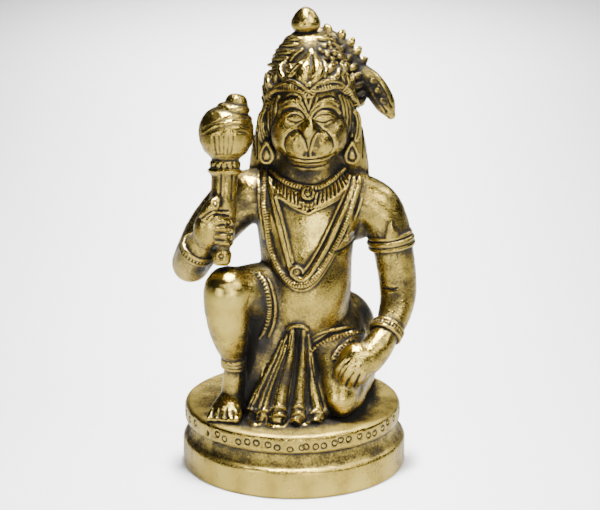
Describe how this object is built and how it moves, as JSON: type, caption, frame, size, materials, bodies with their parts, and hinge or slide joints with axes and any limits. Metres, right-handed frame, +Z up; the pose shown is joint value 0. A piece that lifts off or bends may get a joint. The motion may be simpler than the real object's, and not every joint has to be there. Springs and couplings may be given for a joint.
{
  "type": "hanuman figure",
  "caption": "Small brass figure of the monkey god Hanuman kneeling on one knee with a raised mace, cast in one with its round turned plinth.",
  "frame": {"origin": "middle of the plinth's flat underside", "axes": "+Z up through the plinth's axis, the figure faces -Y, and +X is on the right as seen from the front, where its resting hand is"},
  "size_m": [0.0588, 0.0542, 0.112],
  "materials": {
    "brass": "polished on the high surfaces, with dark brown patina left in the recesses"
  },
  "bodies": {
    "root": {"hanuman_figure": "brass"}
  },
  "joints": []
}
